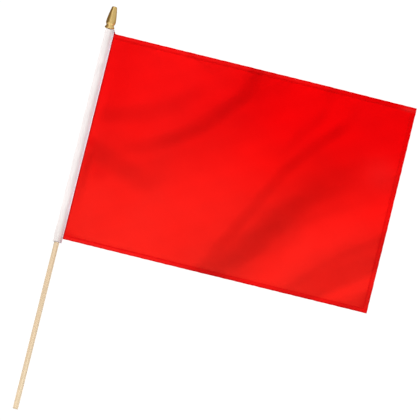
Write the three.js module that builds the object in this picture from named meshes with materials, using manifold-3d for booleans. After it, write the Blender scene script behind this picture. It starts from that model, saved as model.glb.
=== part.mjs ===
// Stick flag: a hemmed red cloth sewn into a white sleeve, on a wooden stick with a gold cap.
// Millimetres. +X runs from the stick to the free (fly) edge of the cloth, +Z runs up the stick,
// and -Y is the side that the flag is seen from. The origin is the middle of the stick's flat foot.
import * as THREE from 'three';
import { mergeVertices } from 'three/addons/utils/BufferGeometryUtils.js';
import Module from 'manifold-3d';

// Driving sizes
const GAP = 0.3;
const STICK_RADIUS = 2.5;
const STICK_LENGTH = 388;
const STICK_SIDES = 32;

const SLEEVE_BOTTOM = 165.3;
const SLEEVE_TOP = 377.1;
const SLEEVE_WALL = 1.0;
const SLEEVE_ARC_STEPS = 20;

const CLOTH_THICKNESS = 1.0;
const CLOTH_TUCKED_EDGE = 3.3;
const CLOTH_SEAM = 5.1;
const CLOTH_FLY = 306;
const CLOTH_BOTTOM = 170.25;
const CLOTH_TOP = 373.9;
const HEM_WIDTH = 4.5;
const HEM_THICKNESS = 1.7;
const HEM_STEP = 0.6;
const CELL = 5.7;

// How far the folds and the hem's extra thickness take to build up from the seam
const FOLD_START = 5.5;
const FOLD_RUN_IN = 10;
const HEM_RUN_IN = 3;

// The cut corners leave the true rectangle by these amounts
const CORNER_OFFSETS = {
  seamTop: -0.2,
  flyTop: 0.3,
  seamBottom: -0.4,
  flyBottom: 0.8,
  flyLean: 0.6,
  topBow: 0.05,
};

// The hem's corner that sticks up beside the sleeve
const CORNER_TAB = { start: 4.7, full: 5.3, end: 6.5, height: 2.6 };

// Folds. Each is a long soft ridge towards the viewer. Its crest follows a line of [x, z] points from
// its upper end to its lower end. It falls away over "before" on the upper left side and over "after"
// on the lower right side, and dies out over "fadeTop" and "fadeLow" at its ends (0 runs off the cloth).
// A negative height makes it a hollow.
const FOLDS = [
  {
    name: 'upper soft fold',
    crest: [[101, 366], [87, 345], [69, 328], [47, 316], [24, 309], [-20, 306]],
    height: 2.8,
    before: 90,
    after: 22,
    fadeTop: 45,
    fadeLow: 0,
  },
  {
    name: 'upper crease',
    crest: [
      [142, 410], [134, 358], [124, 341], [110, 325], [95, 310],
      [78, 297], [57, 286], [34, 280], [-20, 275],
    ],
    height: 4.6,
    before: 130,
    after: 20,
    fadeTop: 0,
    fadeLow: 170,
  },
  {
    name: 'slope under the upper crease',
    crest: [[142, 410], [136, 358], [125, 336], [110, 316], [88, 298], [60, 286], [34, 280]],
    height: 7.0,
    before: 130,
    after: 52,
    fadeTop: 0,
    fadeLow: 140,
  },
  {
    name: 'hoist ripple',
    crest: [[100, 250], [80, 254], [58, 260], [34, 268], [8, 273], [-20, 275]],
    height: 4.8,
    before: 95,
    after: 27,
    fadeTop: 50,
    fadeLow: 0,
  },
  {
    name: 'hoist hollow',
    crest: [[10, 400], [10, 340], [10, 290], [10, 240], [10, 190]],
    height: -3.6,
    before: 40,
    after: 70,
    fadeTop: 115,
    fadeLow: 55,
  },
  {
    name: 'slope at the top edge',
    crest: [[238, 384], [215, 386], [190, 388], [165, 390], [138, 392], [100, 393], [60, 394]],
    height: 2.2,
    before: 20,
    after: 52,
    fadeTop: 30,
    fadeLow: 60,
  },
  {
    name: 'short upper crease',
    crest: [[224, 410], [217, 376], [215, 355], [209, 340], [196, 326], [188, 308], [178, 290]],
    height: 1.4,
    before: 70,
    after: 13,
    fadeTop: 0,
    fadeLow: 30,
  },
  {
    name: 'middle crease',
    crest: [
      [250, 372], [236, 345], [216, 322], [199, 302], [185, 280],
      [172, 254], [160, 229], [146, 203], [116, 150],
    ],
    height: 2.6,
    before: 130,
    after: 15,
    fadeTop: 42,
    fadeLow: 72,
  },
  {
    name: 'middle slope',
    crest: [
      [254, 352], [235, 330], [216, 310], [199, 288], [184, 262],
      [170, 234], [156, 206], [142, 182], [116, 142],
    ],
    height: 6.3,
    before: 130,
    after: 60,
    fadeTop: 50,
    fadeLow: 0,
  },
  {
    name: 'middle trough',
    crest: [
      [269, 335], [255, 320], [237, 298], [217, 279], [199, 259],
      [184, 238], [166, 214], [146, 190], [110, 150],
    ],
    height: 5.2,
    before: 90,
    after: 30,
    fadeTop: 130,
    fadeLow: 0,
  },
  {
    name: 'slope under the middle trough',
    crest: [[217, 279], [199, 259], [184, 238], [166, 214], [146, 190], [110, 150]],
    height: 1.9,
    before: 100,
    after: 52,
    fadeTop: 40,
    fadeLow: 0,
  },
  {
    name: 'fly crease',
    crest: [[340, 276], [304, 251], [284, 236], [264, 221], [244, 203], [227, 184], [196, 146]],
    height: 5.0,
    before: 39,
    after: 44,
    fadeTop: 0,
    fadeLow: 0,
  },
  {
    name: 'sharp edge of the fly crease',
    crest: [[340, 276], [304, 251], [284, 236], [264, 221], [244, 203], [227, 184], [196, 146]],
    height: 0.8,
    before: 60,
    after: 11,
    fadeTop: 70,
    fadeLow: 0,
  },
  {
    name: 'swell beyond the fly edge',
    crest: [[345, 345], [332, 312], [320, 276]],
    height: 3.6,
    before: 60,
    after: 30,
    fadeTop: 25,
    fadeLow: 25,
  },
  {
    name: 'corner crease',
    crest: [[350, 234], [316, 206], [298, 191], [279, 178], [257, 160]],
    height: 2.1,
    before: 13,
    after: 18,
    fadeTop: 0,
    fadeLow: 0,
  },
];
const CREST_STEPS = 10;

// Cap: half its outline from the ring at its foot to its blunt tip, as [radius, height above the foot]
const CAP_FOOT = 377.5;
const CAP_OUTLINE = [
  [3.9, 0],
  [4.5, 0.2],
  [4.76, 0.8],
  [4.4, 1.8],
  [3.82, 2.8],
  [3.8, 3.2],
  [4.42, 4.6],
  [4.76, 6.1],
  [4.58, 9],
  [4.05, 13.5],
  [3.12, 18.6],
  [2.56, 20.8],
  [2.1, 21.4],
  [0.5, 21.75],
];
const CAP_HEIGHT = 21.75;
// The cap's outside sits this far off the stick's axis
const CAP_OFFSET = -0.4;
const CAP_BORE_RADIUS = STICK_RADIUS + GAP;
const CAP_BORE_DEPTH = STICK_LENGTH + GAP - CAP_FOOT;
const CAP_SIDES = 40;
// The four flats that taper towards the tip, as half widths across the flats
const CAP_FLATS = { footHalfWidth: 5.65, tipHalfWidth: 2.1, turn: 0.42 };

const wood = new THREE.MeshStandardMaterial({ color: 0xe2cda0, roughness: 0.75, metalness: 0 });
const gold = new THREE.MeshStandardMaterial({ color: 0xcbad66, roughness: 0.3, metalness: 0.7 });
const whiteCloth = new THREE.MeshStandardMaterial({ color: 0xf4ecec, roughness: 0.8, metalness: 0 });
const redCloth = new THREE.MeshStandardMaterial({ color: 0xf01411, roughness: 0.75, metalness: 0 });

function smoothStep(t) {
  const s = THREE.MathUtils.clamp(t, 0, 1);
  return s * s * (3 - 2 * s);
}

function lerp(a, b, t) {
  return a + (b - a) * t;
}

// Distance from a point to a fold's crest, the side it lies on and how far along the crest it is
function crestPosition(points, x, z) {
  let best = { distance: Infinity, side: 1, along: 0 };
  let travelled = 0;
  for (let i = 1; i < points.length; i += 1) {
    const a = points[i - 1];
    const b = points[i];
    const dx = b.x - a.x;
    const dz = b.y - a.y;
    const length = Math.hypot(dx, dz);
    const t = THREE.MathUtils.clamp(((x - a.x) * dx + (z - a.y) * dz) / (length * length), 0, 1);
    const distance = Math.hypot(x - a.x - t * dx, z - a.y - t * dz);
    if (distance < best.distance) {
      const side = dx * (z - a.y) - dz * (x - a.x);
      best = { distance, side, along: travelled + t * length };
    }
    travelled += length;
  }
  return { ...best, total: travelled };
}

// Height of all the folds at a point of the cloth, towards the viewer
function foldHeight(x, z) {
  let sum = 0;
  for (const fold of FOLDS) {
    const { distance, side, along, total } = crestPosition(fold.points, x, z);
    const width = side < 0 ? fold.before : fold.after;
    const profile = 0.5 + 0.5 * Math.cos(Math.PI * Math.min(distance / width, 1));
    const top = fold.fadeTop > 0 ? smoothStep(along / fold.fadeTop) : 1;
    const low = fold.fadeLow > 0 ? smoothStep((total - along) / fold.fadeLow) : 1;
    sum += fold.height * profile * top * low;
  }
  return sum * smoothStep((x - FOLD_START) / FOLD_RUN_IN);
}

// Grid lines from start to end, with a line at each stop and about one cell between the others
function gridLines(stops) {
  const lines = [stops[0]];
  for (let i = 1; i < stops.length; i += 1) {
    const span = stops[i] - stops[i - 1];
    const count = Math.max(1, Math.round(span / CELL));
    for (let k = 1; k <= count; k += 1) {
      lines.push(stops[i - 1] + (span * k) / count);
    }
  }
  return lines;
}

// True place of a point of the cut rectangle, with its slightly uneven edges and the corner tab
function outlinePoint(x, z) {
  const u = (x - CLOTH_SEAM) / (CLOTH_FLY - CLOTH_SEAM);
  const v = (z - CLOTH_BOTTOM) / (CLOTH_TOP - CLOTH_BOTTOM);
  const bow = CORNER_OFFSETS.topBow * Math.sin(Math.PI * THREE.MathUtils.clamp(u, 0, 1));
  const top = lerp(CORNER_OFFSETS.seamTop, CORNER_OFFSETS.flyTop, u) + bow;
  const bottom = lerp(CORNER_OFFSETS.seamBottom, CORNER_OFFSETS.flyBottom, u);
  const lean = CORNER_OFFSETS.flyLean * (0.5 - v) * Math.max(u, 0);
  const rise = smoothStep((x - CORNER_TAB.start) / (CORNER_TAB.full - CORNER_TAB.start));
  const fall = THREE.MathUtils.clamp((CORNER_TAB.end - x) / (CORNER_TAB.end - CORNER_TAB.full), 0, 1);
  const inHem = THREE.MathUtils.clamp((z - CLOTH_TOP + HEM_WIDTH) / HEM_WIDTH, 0, 1);
  return { x: x + lean, z: z + lerp(bottom, top, v) + CORNER_TAB.height * rise * fall * inHem };
}

function clothThickness(x, z) {
  const fromEdge = Math.min(CLOTH_FLY - x, CLOTH_TOP - z, z - CLOTH_BOTTOM);
  const inHem = THREE.MathUtils.clamp((HEM_WIDTH + HEM_STEP - fromEdge) / HEM_STEP, 0, 1);
  const fromSeam = smoothStep((x - FOLD_START) / HEM_RUN_IN);
  return lerp(CLOTH_THICKNESS, HEM_THICKNESS, inHem * fromSeam);
}

// A closed sheet over a grid of columns and rows: its two faces and the rim that joins them
function sheetGeometry(columns, rows) {
  const positions = [];
  for (const facing of [-1, 1]) {
    for (const z of rows) {
      for (const x of columns) {
        const place = outlinePoint(x, z);
        const middle = -foldHeight(place.x, place.z);
        positions.push(place.x, middle + (facing * clothThickness(x, z)) / 2, place.z);
      }
    }
  }
  const width = columns.length;
  const height = rows.length;
  const back = width * height;
  const index = [];
  const quad = (a, b, c, d) => index.push(a, b, c, a, c, d);
  for (let j = 1; j < height; j += 1) {
    for (let i = 1; i < width; i += 1) {
      const a = (j - 1) * width + i - 1;
      const b = a + 1;
      const c = b + width;
      const d = a + width;
      quad(a, b, c, d);
      quad(back + b, back + a, back + d, back + c);
    }
  }
  for (let i = 1; i < width; i += 1) {
    const low = i - 1;
    const top = (height - 1) * width + i - 1;
    quad(low + 1, low, back + low, back + low + 1);
    quad(top, top + 1, back + top + 1, back + top);
  }
  for (let j = 1; j < height; j += 1) {
    const hoist = (j - 1) * width;
    const fly = hoist + width - 1;
    quad(hoist, hoist + width, back + hoist + width, back + hoist);
    quad(fly + width, fly, back + fly, back + fly + width);
  }
  const geometry = new THREE.BufferGeometry();
  geometry.setAttribute('position', new THREE.Float32BufferAttribute(positions, 3));
  geometry.setIndex(index);
  geometry.computeVertexNormals();
  return geometry;
}

function makeCloth() {
  for (const fold of FOLDS) {
    const curve = new THREE.SplineCurve(fold.crest.map(([x, z]) => new THREE.Vector2(x, z)));
    fold.points = curve.getPoints(CREST_STEPS * (fold.crest.length - 1));
  }
  const hemInside = HEM_WIDTH + HEM_STEP;
  const tab = [CORNER_TAB.start, CORNER_TAB.full, CORNER_TAB.end];
  const columns = gridLines([
    CLOTH_TUCKED_EDGE,
    ...tab,
    CLOTH_FLY - hemInside,
    CLOTH_FLY - HEM_WIDTH,
    CLOTH_FLY,
  ]);
  const rows = gridLines([
    CLOTH_BOTTOM,
    CLOTH_BOTTOM + HEM_WIDTH,
    CLOTH_BOTTOM + hemInside,
    CLOTH_TOP - hemInside,
    CLOTH_TOP - HEM_WIDTH,
    CLOTH_TOP,
  ]);
  return new THREE.Mesh(sheetGeometry(columns, rows), redCloth);
}

// Sleeve: one strip of white cloth wrapped round the stick, its two ends side by side over the red edge
function makeSleeve() {
  const inner = STICK_RADIUS + GAP;
  const outer = inner + SLEEVE_WALL;
  const slot = CLOTH_THICKNESS / 2 + GAP;
  const margin = slot + SLEEVE_WALL;
  const reach = Math.hypot(CLOTH_SEAM, margin);
  const tangent = Math.atan2(margin, CLOTH_SEAM) + Math.acos(outer / reach);
  const mouth = Math.asin(slot / inner);
  const outline = new THREE.Shape();
  outline.moveTo(CLOTH_SEAM, margin);
  outline.absarc(0, 0, outer, tangent, 2 * Math.PI - tangent, false);
  outline.lineTo(CLOTH_SEAM, -margin);
  outline.lineTo(CLOTH_SEAM, -slot);
  outline.absarc(0, 0, inner, 2 * Math.PI - mouth, mouth, true);
  outline.lineTo(CLOTH_SEAM, slot);
  outline.closePath();
  const geometry = new THREE.ExtrudeGeometry(outline, {
    depth: SLEEVE_TOP - SLEEVE_BOTTOM,
    steps: 1,
    bevelEnabled: false,
    curveSegments: SLEEVE_ARC_STEPS,
  });
  const sleeve = new THREE.Mesh(geometry, whiteCloth);
  sleeve.position.z = SLEEVE_BOTTOM;
  return sleeve;
}

function makeStick() {
  const geometry = new THREE.CylinderGeometry(STICK_RADIUS, STICK_RADIUS, STICK_LENGTH, STICK_SIDES);
  geometry.rotateX(Math.PI / 2);
  const stick = new THREE.Mesh(geometry, wood);
  stick.position.z = STICK_LENGTH / 2;
  return stick;
}

// A three.js geometry as a solid that can be cut
function toSolid(wasm, geometry) {
  geometry.deleteAttribute('normal');
  geometry.deleteAttribute('uv');
  const merged = mergeVertices(geometry);
  return new wasm.Manifold(new wasm.Mesh({
    numProp: 3,
    vertProperties: new Float32Array(merged.attributes.position.array),
    triVerts: new Uint32Array(merged.index.array),
  }));
}

function fromSolid(solid) {
  const mesh = solid.getMesh();
  const geometry = new THREE.BufferGeometry();
  geometry.setAttribute('position', new THREE.Float32BufferAttribute(mesh.vertProperties, 3));
  geometry.setIndex([...mesh.triVerts]);
  geometry.computeVertexNormals();
  return geometry;
}

// Cap: a turned shape with four flats cut down towards its tip, and a blind bore for the stick
async function makeCap() {
  const wasm = await Module();
  wasm.setup();
  const profile = [[0, 0], ...CAP_OUTLINE, [0, CAP_HEIGHT]].map(([r, h]) => new THREE.Vector2(r, h));
  const turned = new THREE.LatheGeometry(profile, CAP_SIDES);
  turned.rotateX(Math.PI / 2);
  const cornerRadius = Math.SQRT2;
  const flats = new THREE.CylinderGeometry(
    CAP_FLATS.tipHalfWidth * cornerRadius,
    CAP_FLATS.footHalfWidth * cornerRadius,
    CAP_HEIGHT + 2 * GAP,
    4,
  );
  flats.rotateX(Math.PI / 2);
  flats.rotateZ(CAP_FLATS.turn);
  flats.translate(0, 0, CAP_HEIGHT / 2);
  const bore = new THREE.CylinderGeometry(CAP_BORE_RADIUS, CAP_BORE_RADIUS, 2 * CAP_BORE_DEPTH, STICK_SIDES);
  bore.rotateX(Math.PI / 2);
  const outside = toSolid(wasm, turned).intersect(toSolid(wasm, flats)).translate([CAP_OFFSET, 0, 0]);
  const cap = new THREE.Mesh(fromSolid(outside.subtract(toSolid(wasm, bore))), gold);
  cap.position.z = CAP_FOOT;
  return cap;
}

const flag = new THREE.Group();
const pieces = {
  stick: makeStick(),
  finial: await makeCap(),
  sleeve: makeSleeve(),
  cloth: makeCloth(),
};
for (const [name, piece] of Object.entries(pieces)) {
  piece.name = name;
  flag.add(piece);
}

export default flag;
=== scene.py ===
# Stick flag: a hemmed red cloth in a white sleeve, on a wooden stick with a gold cap.
# Sizes are in millimetres and are turned into metres where a mesh is made. +X runs from the stick to
# the cloth's fly edge, +Z up the stick, and -Y is the side that the camera sees.
import math

import bmesh
import bpy
import numpy as np
from mathutils import Matrix, Vector


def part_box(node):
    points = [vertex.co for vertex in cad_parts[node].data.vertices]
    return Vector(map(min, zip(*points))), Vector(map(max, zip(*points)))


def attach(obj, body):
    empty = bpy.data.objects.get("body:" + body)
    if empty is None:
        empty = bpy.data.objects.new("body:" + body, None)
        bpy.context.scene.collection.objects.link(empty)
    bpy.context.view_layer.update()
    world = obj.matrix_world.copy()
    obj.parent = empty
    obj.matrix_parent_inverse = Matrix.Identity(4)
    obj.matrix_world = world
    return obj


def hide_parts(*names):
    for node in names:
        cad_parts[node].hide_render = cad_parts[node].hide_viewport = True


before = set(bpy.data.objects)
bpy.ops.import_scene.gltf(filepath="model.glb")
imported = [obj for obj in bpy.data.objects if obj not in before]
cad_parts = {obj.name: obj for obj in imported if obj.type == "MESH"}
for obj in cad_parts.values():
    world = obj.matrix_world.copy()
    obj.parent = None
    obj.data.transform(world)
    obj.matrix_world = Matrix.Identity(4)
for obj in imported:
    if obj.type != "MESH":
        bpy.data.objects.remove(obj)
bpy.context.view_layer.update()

MM = 0.001


def node_box(node):
    """A CAD node's lowest and highest corners, in millimetres."""
    low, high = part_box(node)
    return np.array(low) / MM, np.array(high) / MM


# Sizes taken from the frame
_, STICK_HIGH = node_box("stick")
SLEEVE_LOW, SLEEVE_HIGH = node_box("sleeve")
CAP_LOW, CAP_HIGH = node_box("finial")
STICK_RADIUS = STICK_HIGH[0]
STICK_TOP = STICK_HIGH[2]
SEAM = SLEEVE_HIGH[0]

# The cut cloth, as in the CAD model but for the lower fly corner and the bow of the top edge
TUCKED_EDGE = 3.3
FLY = 306.0
BOTTOM = 170.25
TOP = 373.9
FOLD_START = 5.5
FOLD_RUN_IN = 10
CORNER_OFFSETS = dict(
    seam_top=-0.2, fly_top=0.3, seam_bottom=-0.4, fly_bottom=0.65, fly_lean=0.6)
TOP_BOW = dict(height=0.3, x=215, width=60)
CORNER_TAB = dict(start=4.7, full=5.3, end=6.5, height=2.6)

# Cloth finish. Each hem has its width, the place of its roll's crest, a shift of its small waves, how much
# denser the colour is in it (partly its three layers, partly painted shade), the painted shade at its rim and
# in the line beside its stitches (line before the place pale_until and line_end past it), and the painted
# sheen that makes its turned edge paler before that place
CLOTH_HALF = 0.13
EDGE_ROLL = 0.5
HEMS = {
    "top": dict(
        width=5.4, puff_at=2.6, shift=0.4, dense_and_shade=0.15, rim=1.0,
        line=0.27, line_end=0.17, line_at=4.6, pale=0.3, pale_until=260),
    "bottom": dict(
        width=4.3, puff_at=1.7, shift=2.2, dense_and_shade=0.75, rim=0.0,
        line=0.4, line_end=0.1, line_at=3.7, pale=0.35, pale_until=150),
    "fly": dict(
        width=4.8, puff_at=1.8, shift=1.3, dense_and_shade=0.5, rim=0.0,
        line=0.3, line_end=0.3, line_at=4.1, pale=0.0, pale_until=0),
}
PALE_FADE = 70

# Heights of the hems' relief on each face, of the soft tuck beside the stitches, of the puckers beside the
# seam and the hems, of the broad waves and of the edges' unevenness
RELIEF = {
    "front": dict(layers=0.0, puff=0.16, groove=0.1),
    "back": dict(layers=0.26, puff=0.1, groove=0.06),
}
TUCK_HEIGHT = 0.1
PUCKERS = dict(seam=0.14, hem=0.15, reach=4)
BROAD_WAVES = (0.16, 0.12)
EDGE_WAVES = dict(height=0.12, reach=5)

# Soft patches of painted shade, where the red is darker, and of painted sheen, where it is paler: their
# middle, their half sizes and their share
SHADED_PLACES = [
    dict(x=20, z=330, wide=14, high=90, share=0.25),
    dict(x=303, z=170, wide=5.5, high=16, share=0.75),
    dict(x=7, z=173, wide=9, high=5, share=0.8),
    dict(x=9, z=268, wide=7, high=6, share=0.5),
    dict(x=22, z=241, wide=10, high=8, share=0.4),
    dict(x=152, z=356, wide=12, high=12, share=0.3),
]
# Patches of painted sheen, where the red is paler
SHEEN_PLACES = [
    dict(x=288, z=303, wide=18, high=16, share=0.25),
    dict(x=299, z=370.6, wide=7, high=1.8, share=0.8),
]

# Stitches: their distance from the hem's fold, where the rows start beside the seam, spacing and length,
# the thread's size, and its lift and thickness from one end of a stitch to the other
STITCH_MARGIN = 0.6
STITCH_START = 2.2
STITCH_PITCH = 2.5
STITCH_LENGTH = 1.9
THREAD_RADIUS = 0.14
THREAD_SIDES = 6
STITCH_LIFT = [-1.0, 0.35, 0.75, 0.75, 0.35, -1.0]
STITCH_SWELL = [0.35, 0.9, 1.0, 1.0, 0.9, 0.35]

# Folds, the same table as the CAD model's: crest points as (x, z) from the upper end to the lower end,
# height towards the viewer, widths on the upper left and lower right side, and the fades at both ends
FLY_CREST = [(340, 276), (304, 251), (284, 236), (264, 221), (244, 203), (227, 184), (196, 146)]
FOLDS = {
    "upper soft fold": dict(
        crest=[(101, 366), (87, 345), (69, 328), (47, 316), (24, 309), (-20, 306)],
        height=2.8, before=90, after=22, fade_top=45, fade_low=0),
    "upper crease": dict(
        crest=[(142, 410), (134, 358), (124, 341), (110, 325), (95, 310), (78, 297), (57, 286),
               (34, 280), (-20, 275)],
        height=4.6, before=130, after=20, fade_top=0, fade_low=170),
    "slope under the upper crease": dict(
        crest=[(142, 410), (136, 358), (125, 336), (110, 316), (88, 298), (60, 286), (34, 280)],
        height=7.0, before=130, after=52, fade_top=0, fade_low=140),
    "hoist ripple": dict(
        crest=[(100, 250), (80, 254), (58, 260), (34, 268), (8, 273), (-20, 275)],
        height=4.8, before=95, after=27, fade_top=50, fade_low=0),
    "hoist hollow": dict(
        crest=[(10, 400), (10, 340), (10, 290), (10, 240), (10, 190)],
        height=-3.6, before=40, after=70, fade_top=115, fade_low=55),
    "slope at the top edge": dict(
        crest=[(238, 384), (215, 386), (190, 388), (165, 390), (138, 392), (100, 393), (60, 394)],
        height=2.2, before=20, after=52, fade_top=30, fade_low=60),
    "short upper crease": dict(
        crest=[(224, 410), (217, 376), (215, 355), (209, 340), (196, 326), (188, 308), (178, 290)],
        height=1.4, before=70, after=13, fade_top=0, fade_low=30),
    "middle crease": dict(
        crest=[(250, 372), (236, 345), (216, 322), (199, 302), (185, 280), (172, 254), (160, 229),
               (146, 203), (116, 150)],
        height=2.6, before=130, after=15, fade_top=42, fade_low=72),
    "middle slope": dict(
        crest=[(254, 352), (235, 330), (216, 310), (199, 288), (184, 262), (170, 234), (156, 206),
               (142, 182), (116, 142)],
        height=6.3, before=130, after=60, fade_top=50, fade_low=0),
    "middle trough": dict(
        crest=[(269, 335), (255, 320), (237, 298), (217, 279), (199, 259), (184, 238), (166, 214),
               (146, 190), (110, 150)],
        height=5.2, before=90, after=30, fade_top=130, fade_low=0),
    "slope under the middle trough": dict(
        crest=[(217, 279), (199, 259), (184, 238), (166, 214), (146, 190), (110, 150)],
        height=1.9, before=100, after=52, fade_top=40, fade_low=0),
    "fly crease": dict(
        crest=FLY_CREST, height=5.0, before=39, after=44, fade_top=0, fade_low=0),
    "sharp edge of the fly crease": dict(
        crest=FLY_CREST, height=0.8, before=60, after=11, fade_top=70, fade_low=0),
    "swell beyond the fly edge": dict(
        crest=[(345, 345), (332, 312), (320, 276)],
        height=3.6, before=60, after=30, fade_top=25, fade_low=25),
    "corner crease": dict(
        crest=[(350, 234), (316, 206), (298, 191), (279, 178), (257, 160)],
        height=2.1, before=13, after=18, fade_top=0, fade_low=0),
}
CREST_STEPS = 10

# Camera: square on to the flag, rolled so that the stick leans to the right as it is held
PHOTO_WIDTH = 404.5
PHOTO_CENTRE = Vector((135.9, 0, 231.25))
LEAN = math.radians(13.98)
CAMERA_DISTANCE = 8000
CAMERA_RANGE = 50000
SENSOR = 36


def make_camera():
    data = bpy.data.cameras.new("camera")
    data.sensor_width = SENSOR
    data.lens = SENSOR * CAMERA_DISTANCE / PHOTO_WIDTH
    data.clip_end = CAMERA_RANGE * MM
    camera = bpy.data.objects.new("camera", data)
    bpy.context.collection.objects.link(camera)
    right = Vector((math.cos(LEAN), 0, math.sin(LEAN)))
    up = Vector((-math.sin(LEAN), 0, math.cos(LEAN)))
    back = Vector((0, -1, 0))
    turn = Matrix((right, up, back)).transposed().to_4x4()
    place = PHOTO_CENTRE + CAMERA_DISTANCE * back
    camera.matrix_world = Matrix.Translation(place * MM) @ turn
    bpy.context.scene.camera = camera


def smooth_step(t):
    """0 to 1, with a soft start and end."""
    t = np.clip(t, 0, 1)
    return t * t * (3 - 2 * t)


def lerp(a, b, t):
    return a + (b - a) * t


def bump(value, centre, width):
    """A soft hump, 1 at the centre and small two widths away."""
    return np.exp(-(((value - centre) / width) ** 2))


def uneven(s, shift):
    """An irregular wave between about -1 and 1 along a length in millimetres."""
    wave = 0.45 * np.sin(s / 1.83 + shift)
    wave += 0.35 * np.sin(s / 1.13 + 2.1 * shift + 0.9 * np.sin(s / 6.7))
    return wave + 0.3 * np.sin(s / 3.07 + 0.7 * shift)


def crest_line(points):
    """A smooth line through the crest's points."""
    p = np.array([points[0], *points, points[-1]], float)
    t = np.linspace(0, 1, CREST_STEPS, endpoint=False)[:, None]
    parts = []
    for a, b, c, d in zip(p, p[1:], p[2:], p[3:]):
        square = (2 * a - 5 * b + 4 * c - d) * t**2
        cube = (3 * b - a - 3 * c + d) * t**3
        parts.append(0.5 * (2 * b + (c - a) * t + square + cube))
    return np.vstack([*parts, p[-1:]])


def one_fold(x, z, crest, height, before, after, fade_top, fade_low):
    """Height of one fold: a rounded ridge along its crest, with a width of its own on each side."""
    line = crest_line(crest)
    start, step = line[:-1], np.diff(line, axis=0)
    length = np.hypot(step[:, 0], step[:, 1])
    travelled = np.concatenate([[0], np.cumsum(length)])
    dx = x[:, None] - start[:, 0]
    dz = z[:, None] - start[:, 1]
    t = np.clip((dx * step[:, 0] + dz * step[:, 1]) / length**2, 0, 1)
    away = np.hypot(dx - t * step[:, 0], dz - t * step[:, 1])
    nearest = away.argmin(axis=1)
    rows = np.arange(len(x))
    side = step[nearest, 0] * dz[rows, nearest] - step[nearest, 1] * dx[rows, nearest]
    along = travelled[nearest] + t[rows, nearest] * length[nearest]
    width = np.where(side < 0, before, after)
    profile = 0.5 + 0.5 * np.cos(np.pi * np.minimum(away[rows, nearest] / width, 1))
    if fade_top:
        profile = profile * smooth_step(along / fade_top)
    if fade_low:
        profile = profile * smooth_step((travelled[-1] - along) / fade_low)
    return height * profile


def fold_height(x, z):
    """Height of the cloth's folds towards the viewer, for arrays of x and z in millimetres."""
    shape = np.shape(x)
    flat_x, flat_z = np.ravel(x), np.ravel(z)
    total = sum(one_fold(flat_x, flat_z, **fold) for fold in FOLDS.values())
    total = total * smooth_step((flat_x - FOLD_START) / FOLD_RUN_IN)
    return total.reshape(shape)


def small_waves(x, z):
    """Puckers that the sewing draws into the cloth beside its hems and seam, and faint broad waves."""
    from_seam = x - SEAM
    beside = np.exp(-np.abs(from_seam - 3) / PUCKERS["reach"])
    sewn = PUCKERS["seam"] * uneven(z * 0.8 - 0.6 * from_seam, 3.1) * beside
    for inwards, along, hem in hems(x, z):
        slant = uneven(along + 0.8 * inwards, hem["shift"])
        beside = np.exp(-np.abs(inwards - hem["width"] - 1) / PUCKERS["reach"])
        sewn = sewn + PUCKERS["hem"] * slant * beside
    broad = BROAD_WAVES[0] * np.sin(x / 6.3 + z / 11.0) * np.sin(z / 7.9 - x / 17.0)
    broad += BROAD_WAVES[1] * np.sin(x / 4.1 - z / 9.0 + 1.0) * np.sin(z / 5.3 + x / 13.0 + 2.0)
    hold = smooth_step((x - FOLD_START) / 3)
    return (sewn + broad * smooth_step((x - SEAM) / 30)) * hold


def outline_point(x, z):
    """True place of a point of the cut rectangle, with its uneven edges and the corner tab."""
    o, bow, tab, waves = CORNER_OFFSETS, TOP_BOW, CORNER_TAB, EDGE_WAVES
    u = (x - SEAM) / (FLY - SEAM)
    v = (z - BOTTOM) / (TOP - BOTTOM)
    top = lerp(o["seam_top"], o["fly_top"], u) + bow["height"] * bump(x, bow["x"], bow["width"])
    bottom = lerp(o["seam_bottom"], o["fly_bottom"], u)
    lean = o["fly_lean"] * (0.5 - v) * np.maximum(u, 0)
    rise = smooth_step((x - tab["start"]) / (tab["full"] - tab["start"]))
    fall = np.clip((tab["end"] - x) / (tab["end"] - tab["full"]), 0, 1)
    in_hem = np.clip((z - TOP + HEMS["top"]["width"]) / HEMS["top"]["width"], 0, 1)
    wave_top, wave_bottom, wave_fly = (
        waves["height"] * uneven(along, hem["shift"]) * np.clip(1 - inwards / waves["reach"], 0, 1)
        for inwards, along, hem in hems(x, z))
    ear = tab["height"] * rise * fall * in_hem
    loose = smooth_step((x - FOLD_START) / 4)
    return x + lean + wave_fly, z + lerp(bottom, top, v) + ear + (wave_top + wave_bottom) * loose


def hems(x, z):
    """For each hem: distance in from its edge, length along it, and its row of the table."""
    return [(TOP - z, x, HEMS["top"]), (z - BOTTOM, x, HEMS["bottom"]), (FLY - x, z, HEMS["fly"])]


def patches(x, z, places):
    """Soft round patches of a table of places."""
    return [
        place["share"] * bump(x, place["x"], place["wide"]) * bump(z, place["z"], place["high"])
        for place in places]


def dense_and_shade(x, z):
    """How much darker the colour is: in the hems, partly as they are three layers thick and partly painted
    shade, with painted shade at their rims and beside their stitches, a painted shadow beside the sleeve, and
    painted shade in a few soft patches."""
    # Painted shadow of the sleeve on the red beside it
    sleeve_shadow = 0.65 * bump(x - SEAM, 0.5, 0.7)
    bands = [sleeve_shadow, *patches(x, z, SHADED_PLACES)]
    for inwards, along, hem in hems(x, z):
        start = pale_length(along, hem)
        spread = 1 - 0.3 * start * bump(inwards, 1.7, 1.6)
        line = lerp(hem["line_end"], hem["line"], start)
        line = line * (0.8 + 0.5 * uneven(0.9 * along, hem["shift"]))
        # The hem's band: partly the denser colour of its three layers, partly painted shade
        band = hem["dense_and_shade"] * smooth_step((hem["width"] + 0.4 - inwards) / 0.9) * spread
        # Painted shade at the hem's rolled rim and in the line beside its stitches
        band += hem["rim"] * bump(inwards, 0.9, 1.1) + line * bump(inwards, hem["line_at"], 1.0)
        bands.append(band)
    return np.maximum.reduce(bands)


def pale_length(along, hem):
    """1 where the turned edge of a hem catches the light, fading to 0 along it."""
    return smooth_step((hem["pale_until"] - along) / PALE_FADE)


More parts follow.
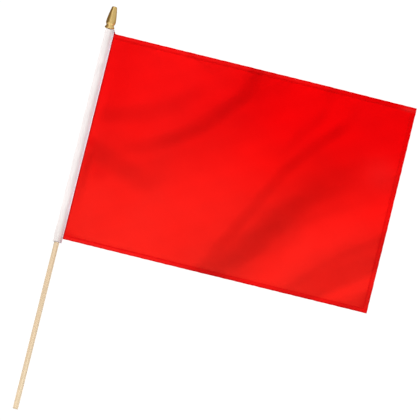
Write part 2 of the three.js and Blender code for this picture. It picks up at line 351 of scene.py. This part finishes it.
def sheen_share(x, z):
    """How much a painted sheen makes the colour paler: on the turned edge of the hems, and in a few soft
    patches.
    """
    bands = patches(x, z, SHEEN_PLACES)
    for inwards, along, hem in hems(x, z):
        spread = 0.8 + 0.4 * uneven(0.7 * along, 5)
        bands.append(hem["pale"] * pale_length(along, hem) * bump(inwards, 1.8, 1.3) * spread)
    return np.maximum.reduce(bands)


def hem_shape(x, z):
    """Four fields of the turned and stitched hems: layers, puffed roll, stitched groove and soft tuck."""
    layers, puff, groove, tuck = [], [], [], []
    for inwards, along, hem in hems(x, z):
        shift = hem["shift"]
        line = hem["width"] - STITCH_MARGIN + 0.25 * uneven(0.7 * along, shift + 1)
        layers.append(smooth_step((hem["width"] + 0.3 - inwards) / 0.6))
        puff.append(bump(inwards, hem["puff_at"], 1.4) * (1 + 0.4 * uneven(along + 0.5 * inwards, shift)))
        groove.append(bump(inwards, line, 0.5) * (0.8 + 0.6 * uneven(1.1 * along, shift + 2)))
        tuck.append(bump(inwards, line + 0.5, 1.5) * (0.8 + 0.6 * uneven(0.8 * along, shift + 3)))
    return [np.maximum.reduce(field) for field in (layers, puff, groove, tuck)]


def edge_roll(inwards):
    """1 on the cloth, falling to 0 in a round edge at its rim."""
    return np.sqrt(np.clip(1 - (1 - np.clip(inwards / EDGE_ROLL, 0, 1)) ** 2, 0, 1))


def cloth_surface(x, z, back=False):
    """True place of a point on the cloth's front or back face."""
    px, pz = outline_point(x, z)
    layers, puff, groove, tuck = hem_shape(x, z)
    loose = smooth_step((x - FOLD_START) / 2.5)
    middle = -fold_height(px, pz) - small_waves(px, pz) + TUCK_HEIGHT * tuck * loose
    face = RELIEF["back" if back else "front"]
    relief = face["layers"] * layers + face["puff"] * puff - face["groove"] * groove
    half = CLOTH_HALF + relief * loose
    for inwards, _, _ in hems(x, z):
        half = half * edge_roll(inwards)
    return np.stack([px, middle + (half if back else -half), pz], axis=-1)


def cloth_lines(low, high, low_stops, high_stops, cell):
    """Grid lines from low to high: fine ones at the given distances from both ends, even ones between."""
    first = [low + d for d in low_stops]
    last = [high - d for d in reversed(high_stops)]
    count = max(1, round((last[0] - first[-1]) / cell))
    middle = np.linspace(first[-1], last[0], count + 1)[1:-1]
    return np.array([*first, *middle, *last])


# Where the cloth's mesh has lines: distances in from a hemmed edge and from the tucked edge, and the size of
# the even cells between them
HEM_STOPS = [0, 0.05, 0.15, 0.3, 0.5, 0.8, 1.2, 1.6, 2.0, 2.4, 2.7, 2.9, 3.1, 3.3, 3.5, 3.7, 3.9, 4.1,
             4.3, 4.5, 4.7, 4.9, 5.1, 5.3, 5.5, 5.7, 6.1, 6.6, 7.3, 8.2]
SEAM_STOPS = [0, 0.9, 1.8, 2.1, 2.25, 2.4, 2.7, 3.1, 3.6, 3.9, 4.4, 5.0, 5.7, 6.5, 7.5, 8.7]
CELL = 1.9


def mesh_object(name, vertices, faces, smooth=True):
    """An object from points in millimetres."""
    mesh = bpy.data.meshes.new(name)
    mesh.from_pydata((np.asarray(vertices) * MM).tolist(), [], faces)
    mesh.polygons.foreach_set("use_smooth", [smooth] * len(mesh.polygons))
    mesh.validate()
    mesh.update()
    piece = bpy.data.objects.new(name, mesh)
    bpy.context.collection.objects.link(piece)
    return piece


def closed_sheet(name, front, back):
    """One closed mesh from two faces, each an array of rows by columns by 3."""
    rows, columns = front.shape[:2]
    vertices = np.vstack([front.reshape(-1, 3), back.reshape(-1, 3)])
    offset = rows * columns
    faces = []
    for j in range(rows - 1):
        for i in range(columns - 1):
            a = j * columns + i
            b, c, d = a + 1, a + 1 + columns, a + columns
            faces.append((a, b, c, d))
            faces.append((offset + b, offset + a, offset + d, offset + c))
    for i in range(columns - 1):
        low, top = i, (rows - 1) * columns + i
        faces.append((low + 1, low, offset + low, offset + low + 1))
        faces.append((top, top + 1, offset + top + 1, offset + top))
    for j in range(rows - 1):
        left, right = j * columns, (j + 1) * columns - 1
        faces.append((left, left + columns, offset + left + columns, offset + left))
        faces.append((right + columns, right, offset + right, offset + right + columns))
    return mesh_object(name, vertices, faces)


WELD_DISTANCE = 0.004


def weld(piece):
    """Joins the points that the round rim brings together."""
    mesh = bmesh.new()
    mesh.from_mesh(piece.data)
    bmesh.ops.remove_doubles(mesh, verts=mesh.verts, dist=WELD_DISTANCE * MM)
    mesh.to_mesh(piece.data)
    mesh.free()


def make_cloth():
    """The red cloth. Its points carry how much darker its colour is, from the hems' denser layers and from
    painted shade, and how much a painted sheen makes it paler.
    """
    columns = cloth_lines(TUCKED_EDGE, FLY, SEAM_STOPS, HEM_STOPS, CELL)
    rows = cloth_lines(BOTTOM, TOP, HEM_STOPS, HEM_STOPS, CELL)
    x, z = np.meshgrid(columns, rows)
    cloth = closed_sheet("flag_cloth", cloth_surface(x, z), cloth_surface(x, z, back=True))
    for name, values in (("dense_and_shade", dense_and_shade(x, z)), ("pale", sheen_share(x, z))):
        attribute = cloth.data.attributes.new(name, "FLOAT", "POINT")
        attribute.data.foreach_set("value", np.concatenate([values.ravel(), values.ravel()]))
    weld(cloth)
    return cloth


def tube_faces(rings, count, first=0):
    """Faces of a closed tube of rings with the same count of points, numbered from its first point."""
    faces = []
    for r in range(rings - 1):
        for k in range(count):
            a = first + r * count + k
            b = first + r * count + (k + 1) % count
            faces.append((a, b, b + count, a + count))
    last = first + (rings - 1) * count
    faces.append(tuple(first + k for k in reversed(range(count))))
    faces.append(tuple(last + k for k in range(count)))
    return faces


def stitches(name, runs):
    """Short thread stitches. Each run is an array of points for one stitch, with the way out of the cloth."""
    angles = np.arange(THREAD_SIDES) * 2 * math.pi / THREAD_SIDES
    vertices, faces = [], []
    for points, outward in runs:
        faces += tube_faces(len(points), THREAD_SIDES, first=len(vertices))
        along = points[-1] - points[0]
        along = along / np.linalg.norm(along)
        across = np.cross(along, outward)
        for point, lift, fat in zip(points, STITCH_LIFT, STITCH_SWELL):
            centre = point + outward * lift * THREAD_RADIUS
            for angle in angles:
                spoke = math.cos(angle) * across + math.sin(angle) * outward
                vertices.append(centre + spoke * THREAD_RADIUS * fat)
    return mesh_object(name, vertices, faces)


def stitch_runs(surface, start, end, back):
    """Points of the stitches in a row from start to end, on the front or the back of a surface."""
    start, end = np.array(start, float), np.array(end, float)
    outward = np.array((0, 1 if back else -1, 0), float)
    length = np.linalg.norm(end - start)
    count = int(length / STITCH_PITCH)
    way = (end - start) / length
    runs = []
    for k in range(count):
        at = (k + 0.5) * length / count
        s = at + np.linspace(-0.5, 0.5, len(STITCH_LIFT)) * STITCH_LENGTH
        points = start + s[:, None] * way
        runs.append((surface(points[:, 0], points[:, 1], back), outward))
    return runs


def make_hem_stitches():
    """A row of stitches along the inner fold of each hem, on both faces of the cloth."""
    margins = {name: hem["width"] - STITCH_MARGIN for name, hem in HEMS.items()}
    left, right = SEAM + STITCH_START, FLY - margins["fly"]
    low, high = BOTTOM + margins["bottom"], TOP - margins["top"]
    rows = [((left, high), (right, high)), ((left, low), (right, low)), ((right, low), (right, high))]
    runs = []
    for start, end in rows:
        for back in (False, True):
            runs += stitch_runs(cloth_surface, start, end, back)
    return stitches("hem_stitches", runs)


# Sleeve: the front half of its section from the seam round to the far side of the stick, as (x, depth)
SLEEVE_FRONT = [(5.1, 0.62), (4.7, 0.57), (4.3, 0.55), (3.9, 0.68), (3.5, 0.98), (3.0, 1.36),
                (2.4, 1.82), (1.7, 2.28), (0.9, 2.66), (0, 2.87), (-1.0, 2.85), (-2.2, 2.42),
                (-3.15, 1.62), (-3.72, 0.7)]
SLEEVE_LEFT = (-3.88, 0.0)
SLEEVE_HALF = 0.11
SLEEVE_ROWS = 180
SLEEVE_FOOT = SLEEVE_LOW[2] + 0.05
SLEEVE_TOP = SLEEVE_HIGH[2] + 0.3

# How the sleeve changes along its length: its round part spreads towards the top and narrows at the foot,
# its margins are drawn in more low down, and its lower edge is cut higher round the stick
TOP_SPREAD = dict(share=0.2, reach=18)
FOOT_PINCH = dict(share=0.045, reach=6)
MARGIN_DRAW = dict(upper=0.08, lower=0.22, below=270, reach=25)
FOOT_CUT = dict(height=0.5, width=3.5, reach=12)

# The sleeve's seam stitches: their place across its margins, and the distance between them and its middle
SEAM_STITCH_X = 4.35
SEAM_STITCH_DEPTH = 0.54 + SLEEVE_HALF
SEAM_STITCH_ENDS = (BOTTOM + 0.6, TOP - 0.4)


def sleeve_section():
    """Middle line of the sleeve's section from the front margin round the stick to the back margin."""
    front = [(x, -y) for x, y in SLEEVE_FRONT]
    back = [(x, y) for x, y in reversed(SLEEVE_FRONT)]
    return crest_line([*front, SLEEVE_LEFT, *back])[:: CREST_STEPS // 5]


def sleeve_dents(s, z):
    """Depth of the sleeve's dents, for a share of the way round it and a height."""
    dents = 0.10 * np.sin(z / 5.1 + 9 * s) * np.sin(z / 13.0 + 1)
    dents += 0.07 * np.sin(z / 2.3 - 14 * s + 2) * (bump(z, 345, 14) + bump(z, 178, 12))
    dents += 0.16 * bump(z + 30 * s, 352, 3) - 0.14 * bump(z - 26 * s, 176, 4)
    return dents + 0.14 * bump(z, SLEEVE_LOW[2], 3) * np.sin(17 * s + 1)


def make_sleeve():
    """The white sleeve, and the width of its cloth along its section."""
    section = sleeve_section()
    tangent = np.gradient(section, axis=0)
    tangent /= np.linalg.norm(tangent, axis=1)[:, None]
    normal = np.stack([tangent[:, 1], -tangent[:, 0]], axis=1)
    loose = smooth_step((3.2 - section[:, 0]) / 1.5)
    heights = np.linspace(SLEEVE_FOOT, SLEEVE_TOP, SLEEVE_ROWS)
    s, z = np.meshgrid(np.linspace(0, 1, len(section)), heights)
    dents = sleeve_dents(s, z) * loose
    middle = section[None] - normal[None] * dents[:, :, None]
    near_top = (z - SLEEVE_TOP + TOP_SPREAD["reach"]) / TOP_SPREAD["reach"]
    near_foot = (SLEEVE_FOOT + FOOT_PINCH["reach"] - z) / FOOT_PINCH["reach"]
    spread = TOP_SPREAD["share"] * smooth_step(near_top)
    pinch = FOOT_PINCH["share"] * smooth_step(near_foot)
    middle[:, :, 1] *= 1 + loose * (spread - pinch)
    margin = smooth_step((section[:, 0] - 3.4) / 1.4)
    lower = smooth_step((MARGIN_DRAW["below"] - z) / MARGIN_DRAW["reach"])
    middle[:, :, 0] -= margin * lerp(MARGIN_DRAW["upper"], MARGIN_DRAW["lower"], lower)
    cut = FOOT_CUT["height"] * bump(section[:, 0], 0, FOOT_CUT["width"])
    z = z + cut[None] * np.clip((SLEEVE_FOOT + FOOT_CUT["reach"] - z) / FOOT_CUT["reach"], 0, 1)
    outer = np.dstack([middle + normal[None] * SLEEVE_HALF, z])
    inner = np.dstack([middle - normal[None] * SLEEVE_HALF, z])
    width = np.hypot(*np.diff(section, axis=0).T).sum()
    return closed_sheet("white_sleeve", outer, inner), width


def sleeve_margin(x, z, back):
    """Place of a point on the outside of the sleeve's front or back margin."""
    depth = SEAM_STITCH_DEPTH if back else -SEAM_STITCH_DEPTH
    return np.stack([x, np.full_like(x, depth), z], axis=-1)


def make_seam_stitches():
    """The row of stitches that holds the red cloth's edge in the sleeve, on both margins."""
    start, end = ((SEAM_STITCH_X, z) for z in SEAM_STITCH_ENDS)
    runs = []
    for back in (False, True):
        runs += stitch_runs(sleeve_margin, start, end, back)
    return stitches("seam_stitches", runs)


def turned_piece(name, rings):
    """A closed round piece from rings of points, each an array of points by 3, joined in order."""
    return mesh_object(name, np.vstack(rings), tube_faces(len(rings), len(rings[0])))


def circle(radius, height, count):
    """A ring of points about the stick's line."""
    angle = np.arange(count) * 2 * np.pi / count
    radius = np.broadcast_to(radius, angle.shape)
    return np.stack([radius * np.cos(angle), radius * np.sin(angle), np.full(count, height)], axis=1)


# Stick: turned rings between its square foot and its end in the cap, a little fuller than the CAD model's
STICK_SHIFT = (0.15, 0, 0)
STICK_SIDES = 48
STICK_RINGS = 110
STICK_RINGS_FROM = 2
STICK_BEVEL = 0.25
STICK_FULLER = 0.08


def make_stick():
    """The wooden stick, not quite round."""
    even = np.linspace(STICK_RINGS_FROM, STICK_TOP - STICK_RINGS_FROM, STICK_RINGS)
    heights = [0.0, STICK_BEVEL, *even, STICK_TOP]
    angle = np.arange(STICK_SIDES) * 2 * np.pi / STICK_SIDES
    rings = []
    for h in heights:
        wander = 0.025 * np.sin(h / 9.0 + 2 * angle) + 0.02 * np.sin(h / 23.0 - angle)
        radius = STICK_RADIUS + STICK_FULLER + wander - (STICK_BEVEL if h == 0 else 0)
        rings.append(circle(radius, h, STICK_SIDES) + STICK_SHIFT)
    return turned_piece("wooden_stick", rings)


# Cap: half its outline from the ring at its foot to its blunt tip, as (radius, height above the foot)
CAP_OUTLINE = [(3.9, 0.02), (4.35, 0.12), (4.66, 0.4), (4.76, 0.8), (4.68, 1.3), (4.4, 1.8), (4.05, 2.3),
               (3.82, 2.8), (3.8, 3.2), (4.02, 3.9), (4.42, 4.6), (4.68, 5.3), (4.76, 6.1), (4.72, 7.3),
               (4.58, 9.0), (4.36, 11.0), (4.05, 13.5), (3.6, 16.1), (3.12, 18.6), (2.82, 20.0),
               (2.56, 20.8), (2.1, 21.4), (1.3, 21.68), (0.5, 21.75)]
CAP_FLATS = dict(foot=5.65, tip=2.1, turn=0.42, soft=0.1)
CAP_SIDES = 96
CAP_SHIFT = (-0.4, 0, 0)
BORE_RADIUS = 2.8
BORE_END_RADIUS = 0.6
BORE_GAP = 0.3
BORE_CHAMFER = 0.3


def cap_ring(radius, height, cap_height):
    """A ring of the cap: round low down, and cut by four soft flats towards the tip."""
    angle = np.arange(CAP_SIDES) * 2 * np.pi / CAP_SIDES
    half = lerp(CAP_FLATS["foot"], CAP_FLATS["tip"], height / cap_height)
    from_flat = (angle - CAP_FLATS["turn"] + np.pi / 4) % (np.pi / 2) - np.pi / 4
    flat = half / np.cos(from_flat)
    soft = CAP_FLATS["soft"]
    cut = -soft * np.log(np.exp(-radius / soft) + np.exp(-flat / soft))
    return circle(cut, height + CAP_LOW[2], CAP_SIDES) + CAP_SHIFT


def make_cap():
    """The gold cap with its blind bore, from the bore's end down and up its outside to the tip."""
    cap_height = CAP_HIGH[2] - CAP_LOW[2]
    foot = CAP_LOW[2]
    bore_top = STICK_TOP + BORE_GAP
    bore = [
        (BORE_END_RADIUS, bore_top),
        (BORE_RADIUS, bore_top),
        (BORE_RADIUS, foot + BORE_CHAMFER),
        (BORE_RADIUS + BORE_CHAMFER, foot),
    ]
    rings = [circle(radius, height, CAP_SIDES) + STICK_SHIFT for radius, height in bore]
    for radius, height in crest_line(CAP_OUTLINE)[::2]:
        rings.append(cap_ring(radius, max(height, 0), cap_height))
    return turned_piece("gold_cap", rings)


# Materials. Noise scales are per metre, and the lengths given to fit() are metres.


def feed(tree, socket, value):
    """Links another node's output to a socket, or sets the socket to a plain value."""
    if isinstance(value, bpy.types.NodeSocket):
        tree.links.new(value, socket)
    else:
        socket.default_value = value


def map_range(tree, value, low, high, out_low, out_high, shape="SMOOTHSTEP"):
    """A value's range from low to high, turned into the range from out_low to out_high."""
    node = tree.nodes.new("ShaderNodeMapRange")
    node.interpolation_type = shape
    tree.links.new(value, node.inputs["Value"])
    ends = {"From Min": low, "From Max": high, "To Min": out_low, "To Max": out_high}
    for name, number in ends.items():
        node.inputs[name].default_value = number
    return node.outputs["Result"]


class Finish:
    """A material with one Principled shader, and short calls that add the nodes that drive it."""

    def __init__(self, name, **values):
        self.material = bpy.data.materials.new(name)
        self.material.use_nodes = True
        self.tree = self.material.node_tree
        self.nodes = self.tree.nodes
        self.links = self.tree.links
        self.shader = self.nodes["Principled BSDF"]
        for socket, value in values.items():
            self.shader.inputs[socket.replace("_", " ")].default_value = value
        self.place = self.nodes.new("ShaderNodeTexCoord").outputs["Object"]
        self.normal = None

    def stretched(self, scale):
        """The piece's own coordinates, scaled along each axis."""
        mapping = self.nodes.new("ShaderNodeMapping")
        mapping.inputs["Scale"].default_value = scale
        self.links.new(self.place, mapping.inputs["Vector"])
        return mapping.outputs["Vector"]

    def noise(self, scale, detail=3.0, roughness=0.55):
        """Soft noise with so many waves for each metre of x, y and z."""
        node = self.nodes.new("ShaderNodeTexNoise")
        node.inputs["Scale"].default_value = 1.0
        node.inputs["Detail"].default_value = detail
        node.inputs["Roughness"].default_value = roughness
        self.links.new(self.stretched(scale), node.inputs["Vector"])
        return node.outputs["Fac"]

    def bands(self, direction, pitch_mm):
        """Slightly wavering stripes across an axis, such as a weave's threads."""
        node = self.nodes.new("ShaderNodeTexWave")
        node.bands_direction = direction
        node.inputs["Scale"].default_value = math.pi / 10 / pitch_mm
        node.inputs["Distortion"].default_value = 0.6
        node.inputs["Detail"].default_value = 1.0
        self.links.new(self.stretched((1 / MM, 1 / MM, 1 / MM)), node.inputs["Vector"])
        return node.outputs["Fac"]

    def ramp(self, value, stops):
        """A colour that goes with a value, from a short list of (value, colour)."""
        node = self.nodes.new("ShaderNodeValToRGB")
        ramp = node.color_ramp
        while len(ramp.elements) < len(stops):
            ramp.elements.new(0.5)
        for element, (position, colour) in zip(ramp.elements, stops):
            element.position = position
            element.color = (*colour, 1)
        self.links.new(value, node.inputs["Fac"])
        return node.outputs["Color"]

    def mix(self, kind, factor, a, b):
        """Two colours mixed. The factor and the colours are numbers or other nodes' outputs."""
        node = self.nodes.new("ShaderNodeMix")
        node.data_type = "RGBA"
        node.blend_type = kind
        for socket, value in ((node.inputs[0], factor), (node.inputs[6], a), (node.inputs[7], b)):
            feed(self.tree, socket, value)
        return node.outputs[2]

    def fit(self, value, low, high, out_low=0.0, out_high=1.0, shape="SMOOTHSTEP"):
        return map_range(self.tree, value, low, high, out_low, out_high, shape)

    def axis(self, name):
        """One of the piece's own coordinates, in metres."""
        node = self.nodes.new("ShaderNodeSeparateXYZ")
        self.links.new(self.place, node.inputs[0])
        return node.outputs[name]

    def attribute(self, name):
        """A number stored on the mesh's points."""
        node = self.nodes.new("ShaderNodeAttribute")
        node.attribute_name = name
        return node.outputs["Fac"]

    def colour(self, value):
        self.links.new(value, self.shader.inputs["Base Color"])

    def roughness(self, value):
        self.links.new(value, self.shader.inputs["Roughness"])

    def raise_by(self, value, depth_mm, strength=1.0):
        """Fine relief from a value, on top of what was raised before."""
        node = self.nodes.new("ShaderNodeBump")
        node.inputs["Strength"].default_value = strength
        node.inputs["Distance"].default_value = depth_mm * MM
        self.links.new(value, node.inputs["Height"])
        if self.normal is not None:
            self.links.new(self.normal, node.inputs["Normal"])
        self.normal = node.outputs["Normal"]
        self.links.new(self.normal, self.shader.inputs["Normal"])


def red_cloth():
    """Red polyester with a fine weave. Its colour holds a painted sheen, lighter and hazier towards its foot
    and its upper left, painted shade in its hems, beside the sleeve and in soft patches, and painted sheen on
    the hems' turned edges.
    """
    finish = Finish("red_polyester", Roughness=0.55, Specular_IOR_Level=0.03)
    soft = finish.noise((16, 16, 16), 5)
    threads = finish.noise((2500, 900, 260), 2)
    cross = finish.noise((240, 900, 2600), 2)
    # Painted sheen: the red is hazier and lighter towards the foot and the upper left
    bottom, top, top_left_sheen = (0.885, 0.0172, 0.0112), (0.865, 0.0009, 0.0020), (0.895, 0.0048, 0.0050)
    # Colours of the painted shade and of the painted sheen
    dense_shade_red, pale = (0.80, 0.22, 0.40, 1), (0.92, 0.020, 0.018, 1)
    height = finish.fit(finish.axis("Z"), 0.170, 0.345)
    base = finish.ramp(height, [(0, bottom), (1, top)])
    left = finish.ramp(height, [(0, bottom), (1, top_left_sheen)])
    base = finish.mix("MIX", finish.fit(finish.axis("X"), 0.07, 0.19), left, base)
    base = finish.mix("MULTIPLY", 0.4, base, finish.ramp(soft, [(0.3, (1, 0.4, 0.4)), (0.7, (1, 1, 1))]))
    # Darker by the hems' denser layers and by painted shade and shadow stored on the points
    base = finish.mix("MULTIPLY", finish.attribute("dense_and_shade"), base, dense_shade_red)
    # Paler by a painted sheen stored on the points
    base = finish.mix("MIX", finish.attribute("pale"), base, pale)
    for streaks in (threads, cross):
        shade = finish.ramp(streaks, [(0.3, (0.8,) * 3), (0.7, (1,) * 3)])
        base = finish.mix("MULTIPLY", 0.1, base, shade)
    finish.colour(base)
    for direction in ("X", "Z"):
        finish.raise_by(finish.bands(direction, 0.36), 0.02, 0.5)
    finish.raise_by(finish.noise((90, 90, 90), 3), 0.25, 0.35)
    return finish.material


def red_thread():
    finish = Finish("red_thread", Roughness=0.5, Specular_IOR_Level=0.1)
    twist = finish.noise((3000, 3000, 3000), 2)
    finish.colour(finish.ramp(twist, [(0.3, (0.70, 0.002, 0.003)), (0.7, (0.84, 0.008, 0.007))]))
    finish.raise_by(twist, 0.03, 0.6)
    return finish.material


def white_cloth():
    """White polyester, tinted across the stick, partly by the red and the wood showing through and partly by
    painted shade on its left and painted light on its right slope, and warmer and darker where it ends over
    the wood, a painted shade.
    """
    finish = Finish("white_polyester", Roughness=0.7, Specular_IOR_Level=0.25, Sheen_Weight=0.1)
    soft = finish.noise((60, 60, 25), 4)
    base = finish.ramp(soft, [(0.3, (0.93, 0.91, 0.91)), (0.7, (0.97, 0.95, 0.95))])
    across = finish.fit(finish.axis("X"), -0.004, 0.006, shape="LINEAR")
    # Across the stick: partly the red cloth and the wood showing through the thin white, partly painted shade
    # on the left side and painted light on the right slope
    tint = finish.ramp(across, [
        (0.0, (0.89, 0.85, 0.84)), (0.4, (0.975, 0.925, 0.915)), (0.62, (1, 0.97, 0.97)),
        (0.74, (1, 0.93, 0.97)), (0.92, (1, 0.84, 0.91))])
    base = finish.mix("MULTIPLY", 1.0, base, tint)
    # Painted shade where the sleeve ends over the wood: darker, most on the margin beside the red
    foot = finish.ramp(across, [
        (0.1, (0.88, 0.87, 0.86)), (0.45, (0.91, 0.91, 0.89)), (0.6, (0.93, 0.80, 0.78)),
        (0.72, (0.70, 0.63, 0.62)), (0.85, (0.68, 0.53, 0.53))])
    low = finish.fit(finish.axis("Z"), 0.168, 0.200, 1.0, 0.0, shape="LINEAR")
    finish.colour(finish.mix("MULTIPLY", low, base, foot))
    for direction in ("X", "Z"):
        finish.raise_by(finish.bands(direction, 0.33), 0.02, 0.4)
    finish.raise_by(finish.noise((500, 500, 120), 3), 0.12, 0.5)
    return finish.material


def white_thread():
    finish = Finish("white_thread", Roughness=0.5, Specular_IOR_Level=0.3)
    twist = finish.noise((3000, 3000, 3000), 2)
    finish.colour(finish.ramp(twist, [(0.3, (0.88, 0.78, 0.83)), (0.7, (0.95, 0.86, 0.91))]))
    finish.raise_by(twist, 0.03, 0.6)
    return finish.material


def stick_wood():
    """Pale wood with a long fine grain, and a painted shade, darker on its left side and lighter on its
    right.
    """
    finish = Finish("birch_wood", Roughness=0.6, Specular_IOR_Level=0.35)
    grain = finish.noise((1500, 1500, 22), 5, 0.6)
    broad = finish.noise((260, 260, 9), 3)
    base = finish.ramp(grain, [
        (0.25, (0.64, 0.50, 0.33)), (0.45, (0.79, 0.64, 0.46)), (0.75, (0.86, 0.72, 0.54))])
    tint = finish.ramp(broad, [(0.3, (1.0, 0.90, 0.80)), (0.7, (1.0, 1.0, 0.94))])
    base = finish.mix("MULTIPLY", 0.8, base, tint)
    # Painted shade and light: the stick darker on its left and lighter on its right
    across = finish.fit(finish.axis("X"), -0.0025, 0.0028)
    side = finish.ramp(across, [(0, (0.80,) * 3), (1, (1.15,) * 3)])
    finish.colour(finish.mix("MULTIPLY", 1.0, base, side))
    finish.roughness(finish.fit(grain, 0.3, 0.8, 0.7, 0.5))
    finish.raise_by(grain, 0.08, 0.5)
    return finish.material


def gold_plastic():
    """Gold metallised plastic, a little uneven."""
    finish = Finish("gold_plastic", Metallic=1.0, Roughness=0.28, Specular_Tint=(0.8, 0.55, 0.3, 1))
    soft = finish.noise((220, 220, 160), 3)
    finish.colour(finish.ramp(soft, [(0.3, (0.72, 0.51, 0.19)), (0.7, (0.80, 0.57, 0.23))]))
    finish.roughness(finish.fit(soft, 0.3, 0.7, 0.26, 0.36))
    finish.raise_by(finish.noise((700, 700, 500), 3), 0.06, 0.4)
    return finish.material


# Stage. Lights: how far from the flag's middle in metres and which way, size in metres, and power in watts
AREA_LIGHTS = {
    "key": dict(away=24, way=(-0.62, -0.50, 0.60), size=8.7, power=6130),
    "fill": dict(away=8, way=(0.75, -0.35, 0.56), size=3.5, power=330),
    "back": dict(away=4, way=(-0.5, 0.75, 0.4), size=2.0, power=110),
}
AMBIENT = 0.22
BACKDROP = 1.05
FLOOR_SIDES = 96
FLOOR_FADE_FROM = 0.45


def area_light(name, away, way, size, power):
    """A round light aimed at the flag's middle, seen neither directly nor in reflections."""
    target = PHOTO_CENTRE * MM
    place = target + away * Vector(way)
    data = bpy.data.lights.new(name, "AREA")
    data.shape = "DISK"
    data.size = size
    data.energy = power
    light = bpy.data.objects.new(name, data)
    bpy.context.collection.objects.link(light)
    light.location = place
    light.rotation_mode = "QUATERNION"
    light.rotation_quaternion = (target - place).to_track_quat("-Z", "Y")
    light.visible_camera = False
    light.visible_glossy = False


def make_world():
    """White for the camera and an even ambient light. Reflections see a bright front, top and foot, a dim,
    warm left, and two glints."""
    world = bpy.data.worlds.new("studio")
    bpy.context.scene.world = world
    world.use_nodes = True
    tree = world.node_tree
    rays = tree.nodes.new("ShaderNodeLightPath").outputs
    place = tree.nodes.new("ShaderNodeTexCoord").outputs["Generated"]
    direction = tree.nodes.new("ShaderNodeSeparateXYZ")
    tree.links.new(place, direction.inputs[0])

    def fit(value, low, high, out_low, out_high):
        return map_range(tree, value, low, high, out_low, out_high)

    def calculate(operation, *values):
        node = tree.nodes.new("ShaderNodeMath")
        node.operation = operation
        for value, socket in zip(values, node.inputs):
            tree.links.new(value, socket)
        return node.outputs[0]

    def choose(factor, a, b, colours=False):
        node = tree.nodes.new("ShaderNodeMix")
        node.data_type = "RGBA" if colours else "FLOAT"
        first = 6 if colours else 2
        for socket, value in ((node.inputs[0], factor), (node.inputs[first], a), (node.inputs[first + 1], b)):
            feed(tree, socket, value)
        return node.outputs[2 if colours else 0]

    def glint(aim, start, full, strength):
        node = tree.nodes.new("ShaderNodeVectorMath")
        node.operation = "DOT_PRODUCT"
        tree.links.new(place, node.inputs[0])
        node.inputs[1].default_value = aim
        return fit(node.outputs["Value"], start, full, 0.0, strength)

    side, depth, height = direction.outputs
    front = fit(depth, -1.0, -0.3, 0.86, 0.3)
    right = fit(side, 0.1, 0.9, 0.0, 0.25)
    dim_left = fit(side, -0.97, -0.78, -0.14, 0.0)
    top = calculate("MULTIPLY", fit(height, 0.3, 0.85, 0.0, 0.45), fit(side, -0.8, -0.3, 0.0, 1.0))
    foot = fit(height, -0.6, -0.25, 0.3, 0.0)
    upper_glint = glint((-0.10, -0.76, 0.64), 0.955, 0.985, 2.3)
    lower_glint = glint((-0.55, -0.60, -0.58), 0.86, 0.97, 0.5)
    shine = front
    for light in (right, dim_left, top, foot, upper_glint, lower_glint):
        shine = calculate("ADD", shine, light)
    lit = choose(rays["Is Glossy Ray"], AMBIENT, shine)
    seen = choose(rays["Is Camera Ray"], lit, BACKDROP)
    warmth = calculate("MULTIPLY", rays["Is Glossy Ray"], fit(shine, 0.35, 0.85, 1.0, 0.0))
    background = tree.nodes["Background"]
    warm = choose(warmth, (1, 1, 1, 1), (1, 0.80, 0.52, 1), colours=True)
    tree.links.new(warm, background.inputs["Color"])
    tree.links.new(seen, background.inputs["Strength"])


def make_floor(drop, radius):
    """A pale round floor below the flag that fades out at its rim."""
    rim = circle(radius, 0.0, FLOOR_SIDES)
    floor = mesh_object("floor", rim, [tuple(range(FLOOR_SIDES))], smooth=False)
    floor.location = (PHOTO_CENTRE.x * MM, 0, -drop * MM)
    finish = Finish("pale_floor", Roughness=0.9)
    soft = finish.noise((3, 3, 3), 2)
    finish.colour(finish.ramp(soft, [(0.3, (0.84, 0.84, 0.84)), (0.7, (0.88, 0.88, 0.88))]))
    length = finish.nodes.new("ShaderNodeVectorMath")
    length.operation = "LENGTH"
    finish.links.new(finish.place, length.inputs[0])
    alpha = finish.fit(length.outputs["Value"], FLOOR_FADE_FROM * radius * MM, radius * MM, 1, 0)
    finish.links.new(alpha, finish.shader.inputs["Alpha"])
    floor.data.materials.append(finish.material)
    return floor


make_camera()

cloth = make_cloth()
hem_stitches = make_hem_stitches()
sleeve, sleeve_width = make_sleeve()
seam_stitches = make_seam_stitches()
stick = make_stick()
cap = make_cap()

for piece, finish in (
    (cloth, red_cloth()),
    (hem_stitches, red_thread()),
    (sleeve, white_cloth()),
    (seam_stitches, white_thread()),
    (stick, stick_wood()),
    (cap, gold_plastic()),
):
    piece.data.materials.append(finish)
    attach(piece, "root")

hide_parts("cloth")
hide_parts("sleeve")
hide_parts("stick")
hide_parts("finial")

for name, row in AREA_LIGHTS.items():
    area_light(name, **row)
make_world()
make_floor(drop=220, radius=700)

bpy.context.scene.view_settings.view_transform = "Standard"
